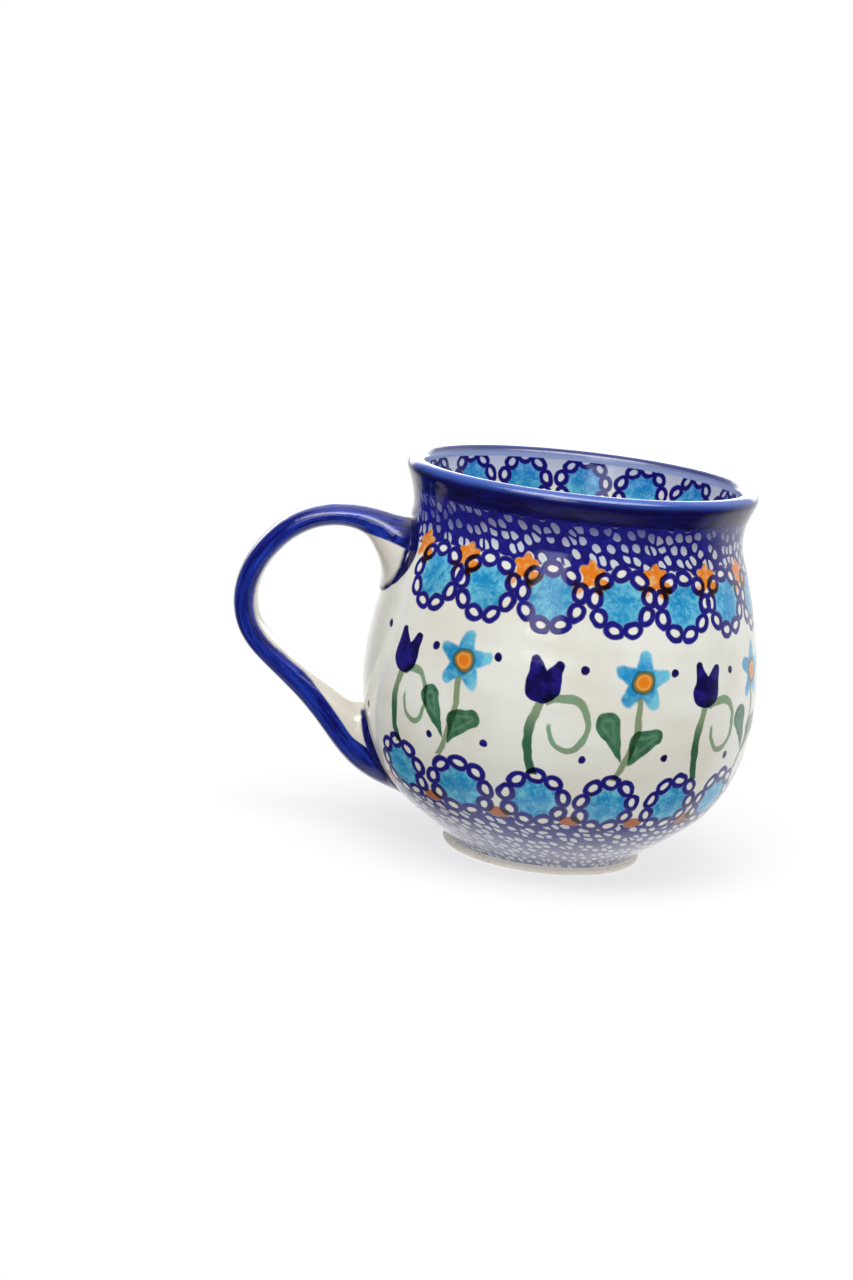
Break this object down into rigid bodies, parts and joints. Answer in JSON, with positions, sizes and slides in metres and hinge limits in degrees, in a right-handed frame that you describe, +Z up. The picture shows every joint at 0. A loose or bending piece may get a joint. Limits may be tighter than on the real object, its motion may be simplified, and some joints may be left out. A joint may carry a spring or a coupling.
{
  "type": "stoneware mug",
  "caption": "Round-bellied stoneware drinking mug with a flared neck, rolled lip, low foot ring and a side strap handle; all-over folk-painted glaze.",
  "frame": {"origin": "centre of the foot ring's resting plane", "axes": "+Z up along the body's axis, -X towards the handle"},
  "size_m": [0.1207, 0.0898, 0.088],
  "materials": {
    "clay": "unglazed, matt",
    "slip": "unglazed, matt",
    "painted_glaze": "glossy, hand-painted under clear glaze",
    "cobalt_glaze": "glossy",
    "cream_glaze": "glossy"
  },
  "bodies": {
    "root": {"body": "clay", "handle": "clay", "upper_slip_joint": "slip", "lower_slip_joint": "slip", "outer_glaze": "painted_glaze", "rim_glaze": "cobalt_glaze", "handle_glaze": "cobalt_glaze", "inner_glaze": "cream_glaze", "base_glaze": "cream_glaze"}
  },
  "joints": []
}
